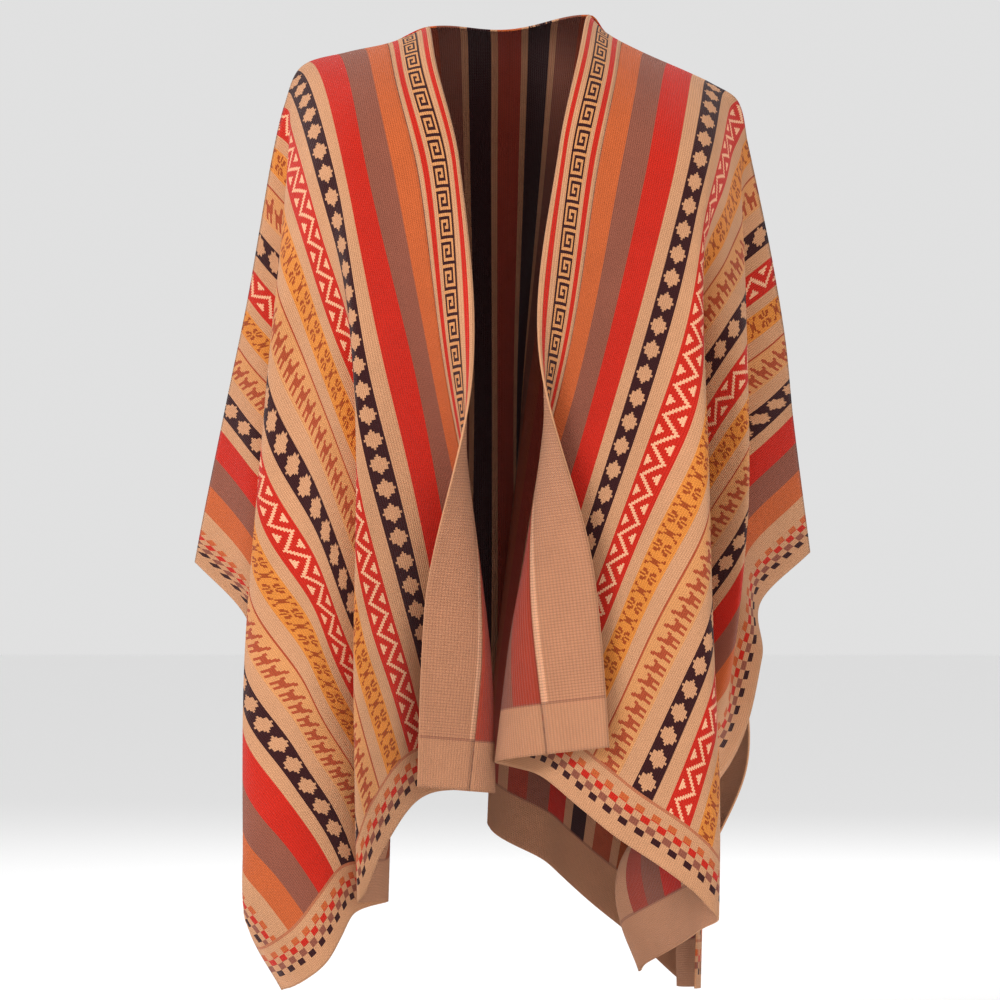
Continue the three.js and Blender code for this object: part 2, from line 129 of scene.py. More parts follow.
FOLDS_LEFT = [
    Fold("edge", [0, 0, 0, 0, 0, 0, 0],
         [78, 68, 47, 26, 75, 86, 95], [110, 115, 120, 165, 178, 182, 186]),
    Fold("turn", [22, 22, 22, 22, 55, 70, 92],
         [92, 86, 66, 41, 10, -3, -15], [105, 112, 118, 150, 138, 138, 140]),
    Fold("chest", [100, 100, 100, 100, 120, 135, 160],
         [160, 148, 131, 86, 45, 25, 3], [95, 110, 122, 150, 142, 132, 118]),
    Fold("panel", [149, 149, 150, 180, 225, 245, 277],
         [203, 194, 174, 144, 110, 96, 71], [75, 100, 118, 150, 165, 166, 166]),
    Fold("inner crest", [160, 175, 188, 240, 357, 398, 440],
         [212, 208, 190, 193, 196, 198, 201], [70, 98, 122, 165, 178, 177, 174]),
    Fold("inner valley", [166, 200, 270, 430, 440, 455, 475],
         [217, 210, 176, 160, 189, 192, 188], [66, 94, 84, 76, 130, 130, 130]),
    Fold("middle edge", [172, 250, 350, 610, 600, 600, 600],
         [221, 217, 199, 188, 122, 114, 140], [62, 90, 98, 96, 50, 54, 66]),
    Fold("outer crest", [180, 318, 487, 630, 618, 618, 618],
         [228, 233, 233, 196, 113, 106, 133], [60, 88, 114, 92, 42, 48, 64]),
    Fold("outer valley", [260, 430, 560, 636, 630, 630, 630],
         [245, 200, 212, 204, 114, 104, 130], [50, 28, 62, 70, 34, 40, 56]),
    Fold("sleeve", [420, 560, 610, 648, 644, 644, 644],
         [274, 230, 228, 211, 120, 106, 130], [50, 50, 66, 60, 28, 34, 50]),
    Fold("side", [655, 655, 655, 655, 655, 655, 655],
         [301, 249, 250, 219, 130, 108, 128], [50, 50, 62, 48, 20, 26, 42]),
]

FOLDS_BACK = [
    Fold("right side", [-736, -736, -736, -736, -736, -736, -736],
         [-320, -266, -250, -236, -256, -250, -236], [50, 60, 60, 70, 110, 118, 126]),
    Fold("right sleeve", [-480, -620, -680, -715, -718, -718, -718],
         [-271, -252, -228, -215, -250, -244, -230], [50, 50, 44, 54, 104, 114, 122]),
    Fold("right outer valley", [-290, -430, -565, -690, -700, -700, -700],
         [-237, -200, -188, -196, -244, -238, -224], [50, 34, 28, 42, 99, 110, 118]),
    Fold("right outer crest", [-235, -330, -425, -550, -640, -670, -680],
         [-221, -230, -242, -256, -256, -252, -238], [60, 88, 108, 132, 138, 138, 138]),
    Fold("right middle", [-228, -262, -320, -440, -560, -600, -630],
         [-218, -217, -214, -200, -205, -205, -200], [62, 95, 112, 128, 125, 122, 118]),
    Fold("right inner valley", [-222, -240, -262, -350, -450, -490, -530],
         [-215, -208, -186, -150, -140, -138, -140], [64, 98, 114, 118, 100, 95, 92]),
    Fold("right inner crest", [-215, -226, -236, -270, -340, -380, -420],
         [-212, -197, -176, -152, -150, -150, -150], [68, 101, 116, 140, 145, 143, 140]),
    Fold("right blade", [-150, -150, -150, -150, -180, -190, -200],
         [-149, -139, -120, -95, -85, -82, -80], [88, 108, 118, 128, 125, 120, 115]),
    Fold("right of centre", [-50, -50, -50, -50, -50, -50, -50],
         [-52, -52, -50, -45, -48, -50, -52], [95, 108, 116, 120, 110, 100, 90]),
    Fold("centre valley", [20, 20, 20, 20, 20, 20, 20],
         [17, 17, 14, 8, 7, 7, 8], [98, 110, 118, 128, 135, 135, 135]),
    Fold("centre crest", [85, 85, 85, 85, 85, 85, 85],
         [81, 74, 58, 20, -10, -20, -26], [95, 108, 115, 112, 100, 95, 92]),
    Fold("left blade", [150, 150, 150, 160, 180, 180, 180],
         [132, 124, 112, 85, 58, 48, 35], [88, 108, 118, 125, 122, 120, 118]),
    Fold("left inner crest", [240, 250, 262, 300, 370, 410, 450],
         [211, 206, 190, 182, 180, 178, 172], [68, 101, 116, 140, 142, 140, 135]),
    Fold("left inner valley", [247, 275, 310, 430, 500, 530, 560],
         [217, 212, 205, 160, 165, 168, 170], [64, 98, 95, 95, 90, 88, 85]),
    Fold("left middle", [254, 310, 390, 560, 600, 610, 620],
         [222, 222, 212, 190, 185, 186, 184], [62, 94, 105, 112, 75, 72, 70]),
    Fold("left outer crest", [262, 380, 520, 660, 660, 660, 660],
         [228, 232, 232, 215, 194, 192, 190], [60, 88, 118, 108, 58, 58, 58]),
    Fold("left outer valley", [340, 500, 620, 690, 690, 690, 690],
         [245, 205, 206, 228, 196, 194, 192], [50, 32, 50, 92, 42, 42, 42]),
    Fold("left sleeve", [500, 640, 690, 715, 715, 715, 715],
         [274, 236, 228, 236, 194, 192, 190], [50, 50, 66, 80, 30, 30, 30]),
    Fold("left side", [736, 736, 736, 736, 736, 736, 736],
         [301, 247, 240, 240, 190, 188, 186], [50, 58, 70, 66, 20, 20, 20]),
]

# Colours of the yarns as screen levels, 0 to 255
COLOURS = {
    "cream": (214, 154, 112), "orange": (206, 98, 48), "mauve": (150, 84, 64),
    "red": (206, 36, 16), "dark": (56, 14, 16), "gold": (228, 138, 56),
    "brown": (166, 72, 22), "rust": (178, 76, 42), "pale": (250, 184, 142),
    "sand": (224, 152, 94), "reverse": (208, 144, 106), "brick": (176, 62, 40),
}

# Stripes of the panels: where each starts across the cloth, its colour and that of its reverse
STRIPES = [
    Stripe(-81, "orange", "brick"), Stripe(-69, "cream", "reverse"), Stripe(-62, "dark", "dark"),
    Stripe(-39, "cream", "reverse"), Stripe(-32, "mauve", "mauve"), Stripe(-8, "orange", "rust"),
    Stripe(12, "red", "brick"), Stripe(28, "cream", "reverse"),
    Stripe(44, "orange", "brick"), Stripe(69, "mauve", "mauve"), Stripe(97, "red", "red"),
    Stripe(125, "cream", "reverse"), Stripe(140, "dark", "dark"), Stripe(163, "cream", "reverse"),
    Stripe(178, "red", "rust"), Stripe(207, "cream", "reverse"), Stripe(219, "gold", "brown"),
    Stripe(242, "cream", "reverse"), Stripe(257, "rust", "rust"), Stripe(259, "sand", "reverse"),
    Stripe(263, "sand", "rust"), Stripe(290, "cream", "reverse"), Stripe(306, "dark", "dark"),
    Stripe(330, "cream", "reverse"), Stripe(345, "red", "rust"), Stripe(374, "cream", "reverse"),
    Stripe(386, "gold", "brown"), Stripe(409, "cream", "reverse"), Stripe(424, "rust", "rust"),
    Stripe(426, "sand", "reverse"), Stripe(430, "sand", "rust"), Stripe(457, "cream", "reverse"),
    Stripe(473, "dark", "dark"), Stripe(497, "cream", "reverse"), Stripe(511, "red", "red"),
    Stripe(539, "mauve", "mauve"), Stripe(567, "orange", "brick"), Stripe(595, "cream", "reverse"),
]
STRIPE_PARTS = [-81, 180, 440, 700]   # each part of the stripes has a ramp of its own

# Stripes of the band along the front edge
BAND_STRIPES = [
    Stripe(0, "cream", "reverse"), Stripe(4, "red", "reverse"), Stripe(9, "cream", "reverse"),
    Stripe(14, "sand", "reverse"), Stripe(31, "cream", "reverse"), Stripe(35, "red", "reverse"),
    Stripe(41, "cream", "pale"),
]

# Coloured lines inside the hem and the side edge, by the distance from the edge. The squares of
# each line alternate with the ground.
BORDER = [
    Stripe(0, "cream", "reverse"), Stripe(14, "dark", "reverse"), Stripe(20, "mauve", "reverse"),
    Stripe(27, "red", "reverse"), Stripe(34, "orange", "reverse"), Stripe(40, "cream", "reverse"),
]
BORDER_DEPTH = 50        # width of the lines and of the facing at the hem
SIDE_BORDER = 60         # width of the lines at the side edge
SIDE_FACING = 42         # width of the facing there
BORDER_PITCH = 18.2      # a square and the ground beside it
BORDER_START = 13.6      # the first line of squares, from the edge
BORDER_LINE = 6.6        # width of a line of squares
SEAM_LINE = 3            # width of the stitch line above the facing
BAND_END = 60            # the band's ramp runs to here, past its edge
RIB_LENGTH = 3           # of the ribs of floats inside the band

# Finish of the cloth: the shader's own sockets, then the knit's relief, its uneven tone and the
# painted shade that follows the relief
CLOTH_FINISH = {
    "Roughness": 0.92, "Specular IOR Level": 0.15, "Sheen Weight": 0.12, "Sheen Roughness": 0.5,
}
STITCH_HEIGHT = 0.8      # height of a stitch, as a share of its width
LOOP_BASE = 0.4          # how far the hollows between the loops stay up
RIB_BASE = 0.15          # and those between the columns of stitches
FUZZ = 0.6               # height of the fuzz beside that of a stitch
FUZZ_SCALE = 900.0
FUZZ_DETAIL = 4.0
BUMP_DISTANCE = 0.001
PATCH_SCALE = 30.0       # of the larger patches of tone
TONE_BASE = 0.68         # tone of the darkest yarn
TONE_NOISE = 0.4         # what the fuzz and the patches add to it
RELIEF_SHADE = 0.22       # and the painted shade and light that the height of the stitch adds: darker in the hollows, lighter on the loops
REVERSE_RELIEF = 1.3     # relief of the reverse beside that of the outside
SEAM_LINE_SHARE = 0.6    # how strongly the stitch lines and the ribs show
FACING_LINE_SHARE = 0.5
RIB_SHARE = 0.35

# Charts of the motifs: a row of stitches is a line, and the stripe runs from line to line
KEY = """
########
#......#
#.####.#
#.#..#.#
#.#.##.#
#.#....#
#.######
#.......
"""
DIAMOND = """
...........
.....#.....
....###....
..#######..
..#######..
.#########.
..#######..
..#######..
....###....
.....#.....
...........
"""
ZIGZAG = """
..##....###..
...##....##..
....##....#..
.....##......
......##.....
..#....##....
..##....##...
..###....##..
..##....##...
..#....##....
......##.....
.....##......
....##....#..
...##....##..
"""
FLOWER = """
..##...##..
..###.###..
....#.#....
.###...###.
....#.#....
..###.###..
..##...##..
...........
...........
.#.......#.
.##.....##.
...#####...
....###....
...#####...
.##.....##.
.#.......#.
...........
...........
"""
LLAMA = """
............
.##.........
.######.....
..#########.
....#######.
.....###....
.....###....
.....######.
....#######.
....##......
"""
MOTIFS = [
    Motif(-62, 23, 25, DIAMOND, "cream"), Motif(140, 23, 25, DIAMOND, "cream"),
    Motif(178, 29, 31.5, ZIGZAG, "pale"), Motif(219, 23, 31.5, FLOWER, "brown"),
    Motif(263, 27, 15, LLAMA, "rust"), Motif(306, 24, 25, DIAMOND, "cream"),
    Motif(345, 29, 31.5, ZIGZAG, "pale"), Motif(386, 23, 31.5, FLOWER, "brown"),
    Motif(430, 27, 15, LLAMA, "rust"), Motif(473, 24, 25, DIAMOND, "cream"),
]
BAND_MOTIFS = [Motif(14.5, 16, 26, KEY, "dark")]


def curve(knots, values, at):
    """Smooth curve through the knots: each cubic piece leaves a knot with the slope between the
    two knots beside it."""
    knots = np.asarray(knots, float)
    values = np.asarray(values, float)
    last = len(knots) - 1
    before = np.maximum(np.arange(last + 1) - 1, 0)
    after = np.minimum(np.arange(last + 1) + 1, last)
    slopes = (values[after] - values[before]) / (knots[after] - knots[before])
    i = np.searchsorted(knots[1:-1], at, side="left")
    span = knots[i + 1] - knots[i]
    s = (at - knots[i]) / span
    step = values[i + 1] - values[i]
    a = slopes[i] * span
    b = slopes[i + 1] * span
    return values[i] + s * (a + s * (3 * step - 2 * a - b + s * (a + b - 2 * step)))


def along(rows, name, at):
    """The named column of a table at a distance across the cloth."""
    return curve([row.across for row in rows], [getattr(row, name) for row in rows], at)


def back_ridge():
    """The shoulder line of the back: the two shoulder lines, joined by the neck edge."""
    right = [row._replace(across=-row.across - NECK_HALF) for row in reversed(RIDGE_RIGHT)]
    left = [row._replace(across=row.across + NECK_HALF) for row in RIDGE_LEFT]
    return right + left


# facing: 1 where the panel lies behind the shoulder line, -1 in front of it. turn: 1 where
# "across" runs to the side that makes the surface face outwards, -1 where it runs the other way.
Panel = namedtuple("Panel", "folds ridge hem facing centre turn")
PANELS = {
    "right": Panel(FOLDS_RIGHT, RIDGE_RIGHT, HEM_RIGHT, -1, 0, -1),
    "left": Panel(FOLDS_LEFT, RIDGE_LEFT, HEM_LEFT, -1, 0, 1),
    "back": Panel(FOLDS_BACK, back_ridge(), HEM_BACK, 1, NECK_HALF, -1),
}


def fall(across, down):
    """Share of the height lost: a quarter ellipse over the shoulder, then a straight line of the
    same slope. On the arm it is straight from the start."""
    turn = SHOULDER_TURN
    drop = turn / (turn + math.pi / 2 * (1 - turn))
    if down < turn:
        rounded = drop * (1 - math.cos(math.pi / 2 * down / turn))
    else:
        rounded = drop + (1 - drop) * (down - turn) / (1 - turn)
    arm = np.clip((across - SHOULDER_END) / (ARM_START - SHOULDER_END), 0, 1)
    arm = arm * arm * (3 - 2 * arm)
    return rounded + (down - rounded) * arm


def rise(down):
    """Share of its depth by which the cloth has left the shoulder line: a quarter sine."""
    return math.sin(math.pi / 2 * min(down / SHOULDER_TURN, 1))


def rounded_section(panel, across, down):
    """Side and depth of a level row: a smooth curve through the fold points, rounded at the folds
    by a weighted mean over a short length of cloth to each side."""
    lines = np.array([curve(DOWN, fold.across, down) for fold in panel.folds])
    sides = np.array([curve(DOWN, fold.x, down) for fold in panel.folds])
    depths = np.array([curve(DOWN, fold.depth, down) for fold in panel.folds])
    spans = np.hypot(np.diff(sides), np.diff(depths))
    places = np.concatenate([[0], np.cumsum(np.sqrt(spans + 1))])
    room = np.minimum(across - lines[0], lines[-1] - across) / (len(ROUNDING) - 1)
    step = np.clip(room, 0, ROUNDING_STEP)
    side = np.zeros_like(across)
    depth = np.zeros_like(across)
    total = 0
    for k, weight in enumerate(ROUNDING):
        for way in ([1] if k == 0 else [-1, 1]):
            place = np.interp(across + way * k * step, lines, places)
            side += weight * curve(places, sides, place)
            depth += weight * curve(places, depths, place)
            total += weight
    return side / total, depth / total


def ripple(across, down, height):
    """Small unevenness of soft knit: three crossed sine waves that fade out at the shoulder."""
    waves = sum(share * np.sin(across / length + turns * down + start)
                for share, length, turns, start in RIPPLES)
    return height * waves * rise(down)


def surface(panel, across, downs, ripple_height):
    """Middle surface of a panel in millimetres, as rows x columns x 3. Each row is a level curve
    of folds. Its height is the shoulder line plus the fall towards the hem line, and near the
    shoulder the row slides over to meet the shoulder line."""
    top_side, _ = rounded_section(panel, across, 0)
    off_line = along(panel.ridge, "x", across) - top_side
    from_neck = np.abs(across) - panel.centre
    high = along(panel.ridge, "z", across)
    low = along(panel.hem, "z", across)
    nape = np.zeros_like(across)
    if panel.centre:
        inside = from_neck < 0
        nape[inside] = np.cos(math.pi / 2 * across[inside] / panel.centre) ** 2
    grid = np.empty((len(downs), len(across), 3))
    for row, down in enumerate(downs):
        side, depth = rounded_section(panel, across, down)
        line_share = max(0, 1 - down / SHOULDER_TURN) ** 2
        depth = depth + ripple(across, down, ripple_height)
        y = depth * rise(down) + SEAM / 2 + NAPE * nape * (1 - rise(down))
        grid[row, :, 0] = side + off_line * line_share
        grid[row, :, 1] = panel.facing * y
        grid[row, :, 2] = high + (low - high) * fall(from_neck, down)
        grid[row, :, 2] -= NAPE_DIP * nape * line_share
    return grid


def directions(grid, panel, across):
    """Outward direction at each point: the cross product of the two ways along the surface. On
    the shoulder line it stays in the plane that the front and the back share."""
    down_way = np.gradient(grid, axis=0)
    across_way = np.gradient(grid, axis=1)
    normals = panel.turn * np.cross(down_way, across_way)
    shoulder = np.abs(across) >= panel.centre
    normals[0, shoulder, 1] = 0
    return normals / np.linalg.norm(normals, axis=2, keepdims=True)


def height_above_hem(grid):
    """Length of cloth from each point down to the hem, along the stripes."""
    steps = np.linalg.norm(np.diff(grid, axis=0), axis=2)
    below = np.cumsum(steps[::-1], axis=0)[::-1]
    return np.vstack([below, np.zeros(grid.shape[1])])


def shell_faces(rows, columns):
    """Quads of a closed shell over a grid: the outer skin, the inner skin and the rim."""
    index = np.arange(rows * columns).reshape(rows, columns)
    skin = rows * columns
    a, b = index[:-1, :-1].ravel(), index[1:, :-1].ravel()
    c, d = index[1:, 1:].ravel(), index[:-1, 1:].ravel()
    outer = np.stack([a, b, c, d], axis=1)
    inner = np.stack([c, b, a, d], axis=1) + skin
    loop = np.concatenate([index[0, :], index[1:, -1], index[-1, -2::-1], index[-2::-1, 0]])
    start, end = loop[:-1], loop[1:]
    rim = np.stack([start, end, end + skin, start + skin], axis=1)
    return outer, inner, rim


def shell_object(name, grid, normals, across, above, thickness, materials):
    """A thin shell over part of a grid, half its thickness to each side of the middle surface.
    Its cloth coordinates go into the UV map "cloth", in metres: across, and above the hem."""
    rows, columns = grid.shape[:2]
    half = thickness / 2
    points = np.concatenate([(grid + half * normals).reshape(-1, 3),
                             (grid - half * normals).reshape(-1, 3)]) * MM
    outer, inner, rim = shell_faces(rows, columns)
    faces = np.concatenate([outer, inner, rim])
    corners = points[outer]
    volume = np.einsum("ij,ij->i", corners[:, 0], np.cross(corners[:, 1], corners[:, 2])).sum()
    inside = points[inner]
    volume += np.einsum("ij,ij->i", inside[:, 0], np.cross(inside[:, 1], inside[:, 2])).sum()
    if volume < 0:
        faces = faces[:, ::-1]
    mesh = bpy.data.meshes.new(name)
    mesh.vertices.add(len(points))
    mesh.vertices.foreach_set("co", points.ravel())
    mesh.loops.add(faces.size)
    mesh.loops.foreach_set("vertex_index", faces.ravel())
    mesh.polygons.add(len(faces))
    mesh.polygons.foreach_set("loop_start", np.arange(0, faces.size, 4))
    slots = np.zeros(len(faces), dtype=np.int32)
    slots[len(outer):len(outer) + len(inner)] = 1
    mesh.polygons.foreach_set("material_index", slots)
    flat = np.stack([np.broadcast_to(across, (rows, columns)), above], axis=2).reshape(-1, 2) * MM
    flat = np.concatenate([flat, flat])
    layer = mesh.uv_layers.new(name="cloth")
    layer.data.foreach_set("uv", flat[faces.ravel()].ravel())
    mesh.update(calc_edges=True)
    mesh.validate()
    mesh.shade_smooth()
    for material in materials:
        mesh.materials.append(material)
    piece = bpy.data.objects.new(name, mesh)
    bpy.context.scene.collection.objects.link(piece)
    return piece


class Nodes:
    """Short ways to add nodes to a material."""

    def __init__(self, tree):
        self.tree = tree

    def add(self, kind, **settings):
        """A new node with the given settings."""
        node = self.tree.nodes.new(kind)
        for name, value in settings.items():
            setattr(node, name, value)
        return node

    def feed(self, socket, value):
        """Links an output to the socket, or sets the socket's own value."""
        if isinstance(value, bpy.types.NodeSocket):
            self.tree.links.new(value, socket)
        else:
            socket.default_value = value

    def math(self, operation, *values):
        """The output of a math node fed with numbers or outputs."""
        node = self.add("ShaderNodeMath", operation=operation)
        for socket, value in zip(node.inputs, values):
            self.feed(socket, value)
        return node.outputs[0]

    def noise(self, scale):
        """A noise texture fixed to the piece, with its detail left as it comes."""
        node = self.add("ShaderNodeTexNoise")
        coordinates = self.add("ShaderNodeTexCoord")
        self.feed(node.inputs["Vector"], coordinates.outputs["Object"])
        self.feed(node.inputs["Scale"], scale)
        return node

    def inside(self, value, low, high):
        """1 where the value lies from low to high."""
        return self.math("MULTIPLY", self.math("GREATER_THAN", value, low),
                         self.math("LESS_THAN", value, high))

    def mix(self, share, first, second):
        """The first colour, with a share of the second mixed in."""
        node = self.add("ShaderNodeMix", data_type="RGBA")
        self.feed(node.inputs["Factor"], share)
        self.feed(node.inputs["A"], first)
        self.feed(node.inputs["B"], second)
        return node.outputs["Result"]

    def steps(self, value, stops):
        """Colour of the last stop that the value from 0 to 1 has passed."""
        node = self.add("ShaderNodeValToRGB")
        ramp = node.color_ramp
        ramp.interpolation = "CONSTANT"
        while len(ramp.elements) < len(stops):
            ramp.elements.new(1)
        for element, (position, colour) in zip(ramp.elements, stops):
            element.position = position
            element.color = colour
        self.feed(node.inputs[0], value)
        return node.outputs[0]


def linear_colour(screen_levels):
    """Linear colour, with alpha, of a screen colour: the usual sRGB curve."""
    levels = np.array(screen_levels) / 255
    linear = np.where(levels <= 0.04045, levels / 12.92, ((levels + 0.055) / 1.055) ** 2.4)
    return (*linear.tolist(), 1)


def paint(name):
    """The colour of a yarn, as the user has set it."""
    return tuple(getattr(bpy.context.scene.poncho_colours, name))


def millimetres(length):
    """A length in metres as millimetres, freed of the property's rounding."""
    return round(length / MM, 3)


def stripe_colour(nodes, across, stripes, low, high, side):
    """Constant colour ramp of the stripes from low to high, in millimetres."""
    passed = [stripe for stripe in stripes if stripe.start <= low][-1:]
    rest = [stripe for stripe in stripes if low < stripe.start < high]
    stops = [(0, paint(getattr(passed[0], side)))]
    stops += [((stripe.start - low) / (high - low), paint(getattr(stripe, side)))
              for stripe in rest]
    share = nodes.math("DIVIDE", nodes.math("SUBTRACT", across, low), high - low)
    return nodes.steps(share, stops)


def chart_mask(nodes, across, above, motif):
    """1 on the marked stitches of a motif. A ramp gives each row of the chart as a number whose
    binary digits are the row's stitches, and the stitch's own digit is read from it."""
    rows = motif.chart.split()
    width = len(rows[0])
    codes = [sum(1 << i for i, mark in enumerate(row) if mark == "#") / 2**width for row in rows]
    turn = nodes.math("FRACT", nodes.math("DIVIDE", above, motif.pitch))
    row = nodes.math("FLOOR", nodes.math("MULTIPLY", turn, len(rows)))
    centre = nodes.math("DIVIDE", nodes.math("ADD", row, 0.5), len(rows))
    stops = [(i / len(rows), (code, code, code, 1)) for i, code in enumerate(codes)]
    code = nodes.math("MULTIPLY", nodes.steps(centre, stops), 2.0**width)
    local = nodes.math("DIVIDE", nodes.math("SUBTRACT", across, motif.start), motif.width)
    stitch = nodes.math("FLOOR", nodes.math("MULTIPLY", local, width))
    place = nodes.math("POWER", 2, stitch)
    digit = nodes.math("FLOOR", nodes.math("DIVIDE", nodes.math("ADD", code, 0.5), place))
    odd = nodes.math("FLOORED_MODULO", digit, 2)
    return nodes.math("MULTIPLY", odd, nodes.inside(local, 0, 1))


def border_colour(nodes, from_edge, along_edge):
    """Lines of coloured squares beside an edge. From one line to the next the squares move on by
    half a square."""
    lines = stripe_colour(nodes, from_edge, BORDER, 0, SIDE_BORDER, "colour")
    from_start = nodes.math("SUBTRACT", from_edge, BORDER_START)
    line = nodes.math("FLOOR", nodes.math("DIVIDE", from_start, BORDER_LINE))
    shift = nodes.math("MULTIPLY", line, 0.5)
    turn = nodes.math("ADD", nodes.math("DIVIDE", along_edge, BORDER_PITCH), shift)
    square = nodes.math("LESS_THAN", nodes.math("FRACT", turn), 0.5)
    return nodes.mix(square, paint("cream"), lines)


def knit_bump(nodes, across, above, strength, stitch):
    """Normal of a plain knit: columns of stitches, each a row of small slanted bumps, and a finer
    fuzz of noise."""
    column = nodes.math("DIVIDE", across, stitch)
    from_middle = nodes.math("PINGPONG", column, 0.5)
    rows = nodes.math("DIVIDE", above, stitch * STITCH_HEIGHT)
    slant = nodes.math("ADD", rows, from_middle)
    loops = nodes.math("ABSOLUTE", nodes.math("SINE", nodes.math("MULTIPLY", slant, math.pi)))
    ribs = nodes.math("SINE", nodes.math("MULTIPLY", from_middle, math.pi))
    height = nodes.math("MULTIPLY", nodes.math("ADD", loops, LOOP_BASE),
                        nodes.math("ADD", ribs, RIB_BASE))
    noise = nodes.noise(FUZZ_SCALE)
    nodes.feed(noise.inputs["Detail"], FUZZ_DETAIL)
    fuzz = nodes.math("MULTIPLY", noise.outputs[0], FUZZ)
    bump = nodes.add("ShaderNodeBump")
    nodes.feed(bump.inputs["Strength"], strength)
    nodes.feed(bump.inputs["Distance"], BUMP_DISTANCE)
    nodes.feed(bump.inputs["Height"], nodes.math("ADD", height, fuzz))
    return bump.outputs[0], height, noise.outputs[0]


def new_cloth(title):
    """An empty cloth material with its cloth coordinates in millimetres."""
    material = bpy.data.materials.new(title)
    material.use_nodes = True
    nodes = Nodes(material.node_tree)
    shader = material.node_tree.nodes["Principled BSDF"]
    for name, value in CLOTH_FINISH.items():
        shader.inputs[name].default_value = value
    flat = nodes.add("ShaderNodeUVMap", uv_map="cloth")
    parts = nodes.add("ShaderNodeSeparateXYZ")
    nodes.feed(parts.inputs[0], flat.outputs[0])
    across = nodes.math("MULTIPLY", parts.outputs[0], 1 / MM)
    above = nodes.math("MULTIPLY", parts.outputs[1], 1 / MM)
    return material, nodes, shader, across, above


def finish_cloth(nodes, shader, across, above, colour, settings, strength):
    """Adds the yarn's uneven tone, painted shade in the hollows between the stitches, painted
    light on the loops, and the knit bump to a cloth colour.
    """
    stitch = millimetres(settings.stitch)
    normal, height, noise = knit_bump(nodes, across, above, strength, stitch)
    patches = nodes.noise(PATCH_SCALE)
    tone = nodes.math("MULTIPLY", nodes.math("ADD", noise, patches.outputs[0]), 0.5)
    tone = nodes.math("ADD", nodes.math("MULTIPLY", tone, TONE_NOISE), TONE_BASE)
    # Painted shade and light: the stitch height darkens the hollows between the loops and lightens
    # their tops.
    tone = nodes.math("ADD", tone, nodes.math("MULTIPLY", height, RELIEF_SHADE))
    scale = nodes.add("ShaderNodeVectorMath", operation="SCALE")
    nodes.feed(scale.inputs[0], colour)
    nodes.feed(scale.inputs["Scale"], tone)
    nodes.feed(shader.inputs["Base Color"], scale.outputs[0])
    nodes.feed(shader.inputs["Normal"], normal)


def panel_stripes(nodes, across, side):
    """The panels' stripes, from one ramp for each part."""
    colour = None
    for low, high in zip(STRIPE_PARTS, STRIPE_PARTS[1:]):
        part = stripe_colour(nodes, across, STRIPES, low, high, side)
        if colour is None:
            colour = part
        else:
            colour = nodes.mix(nodes.math("GREATER_THAN", across, low), colour, part)
    return colour


def panel_material(settings):
    """Outside of a panel: stripes, motifs, the lines of squares along the side and the hem, and
    the seam line above the hem."""
    material, nodes, shader, across, above = new_cloth("panel_knit")
    colour = panel_stripes(nodes, across, "colour")
    for motif in MOTIFS:
        mask = chart_mask(nodes, across, above, motif)
        colour = nodes.mix(mask, colour, paint(motif.colour))
    from_side = nodes.math("SUBTRACT", HALF_WIDTH, across)
    side = border_colour(nodes, from_side, above)
    colour = nodes.mix(nodes.math("LESS_THAN", from_side, SIDE_BORDER), colour, side)
    hem = border_colour(nodes, above, across)
    colour = nodes.mix(nodes.math("LESS_THAN", above, BORDER_DEPTH), colour, hem)
    line = nodes.inside(above, BORDER_DEPTH - SEAM_LINE, BORDER_DEPTH)
    colour = nodes.mix(nodes.math("MULTIPLY", line, SEAM_LINE_SHARE), colour, paint("rust"))
    finish_cloth(nodes, shader, across, above, colour, settings, settings.relief)
    return material


def facing_line(nodes, above, colour):
    """The faint stitch line that holds the facing on the reverse."""
    line = nodes.inside(above, BORDER_DEPTH - SEAM_LINE / 2, BORDER_DEPTH + SEAM_LINE / 2)
    return nodes.mix(nodes.math("MULTIPLY", line, FACING_LINE_SHARE), colour, paint("mauve"))


def panel_reverse(settings):
    """Inside of a panel: the floats of the stripes, and a plain facing at the hem and the side."""
    material, nodes, shader, across, above = new_cloth("panel_reverse")
    colour = panel_stripes(nodes, across, "reverse")
    facing = nodes.math("MAXIMUM", nodes.math("LESS_THAN", above, BORDER_DEPTH),
                        nodes.math("GREATER_THAN", across, HALF_WIDTH - SIDE_FACING))
    colour = nodes.mix(facing, colour, paint("reverse"))
    colour = facing_line(nodes, above, colour)
    finish_cloth(nodes, shader, across, above, colour, settings, settings.relief * REVERSE_RELIEF)
    return material


def band_material(settings):
    """Outside of the front band: cream and red lines with the key in the middle."""
    material, nodes, shader, across, above = new_cloth("band_knit")
    colour = stripe_colour(nodes, across, BAND_STRIPES, 0, BAND_END, "colour")
    for motif in BAND_MOTIFS:
        mask = chart_mask(nodes, across, above, motif)
        colour = nodes.mix(mask, colour, paint(motif.colour))
    finish_cloth(nodes, shader, across, above, colour, settings, settings.relief)
    return material


def band_reverse(settings):
    """Inside of the front band: pale ribs of floats across it, and one pale line."""
    material, nodes, shader, across, above = new_cloth("band_reverse")
    colour = stripe_colour(nodes, across, BAND_STRIPES, 0, BAND_END, "reverse")
    turn = nodes.math("MULTIPLY", above, math.pi / RIB_LENGTH)
    rib = nodes.math("ABSOLUTE", nodes.math("SINE", turn))
    rib = nodes.math("MULTIPLY", nodes.math("LESS_THAN", rib, 0.5), RIB_SHARE)
    colour = nodes.mix(rib, colour, paint("mauve"))
    colour = nodes.mix(nodes.math("LESS_THAN", above, BORDER_DEPTH), colour, paint("reverse"))
    colour = facing_line(nodes, above, colour)
    finish_cloth(nodes, shader, across, above, colour, settings, settings.relief * REVERSE_RELIEF)
    return material


def even_steps(low, high, spacing):
    """Evenly spaced values from low to high, about the spacing apart."""
    return np.linspace(low, high, max(2, round((high - low) / spacing) + 1))


def mark_piece(piece, node):
    """Hangs a piece under the root body and hides the imported solid of the same node."""
    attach(piece, "root")
    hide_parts(node)


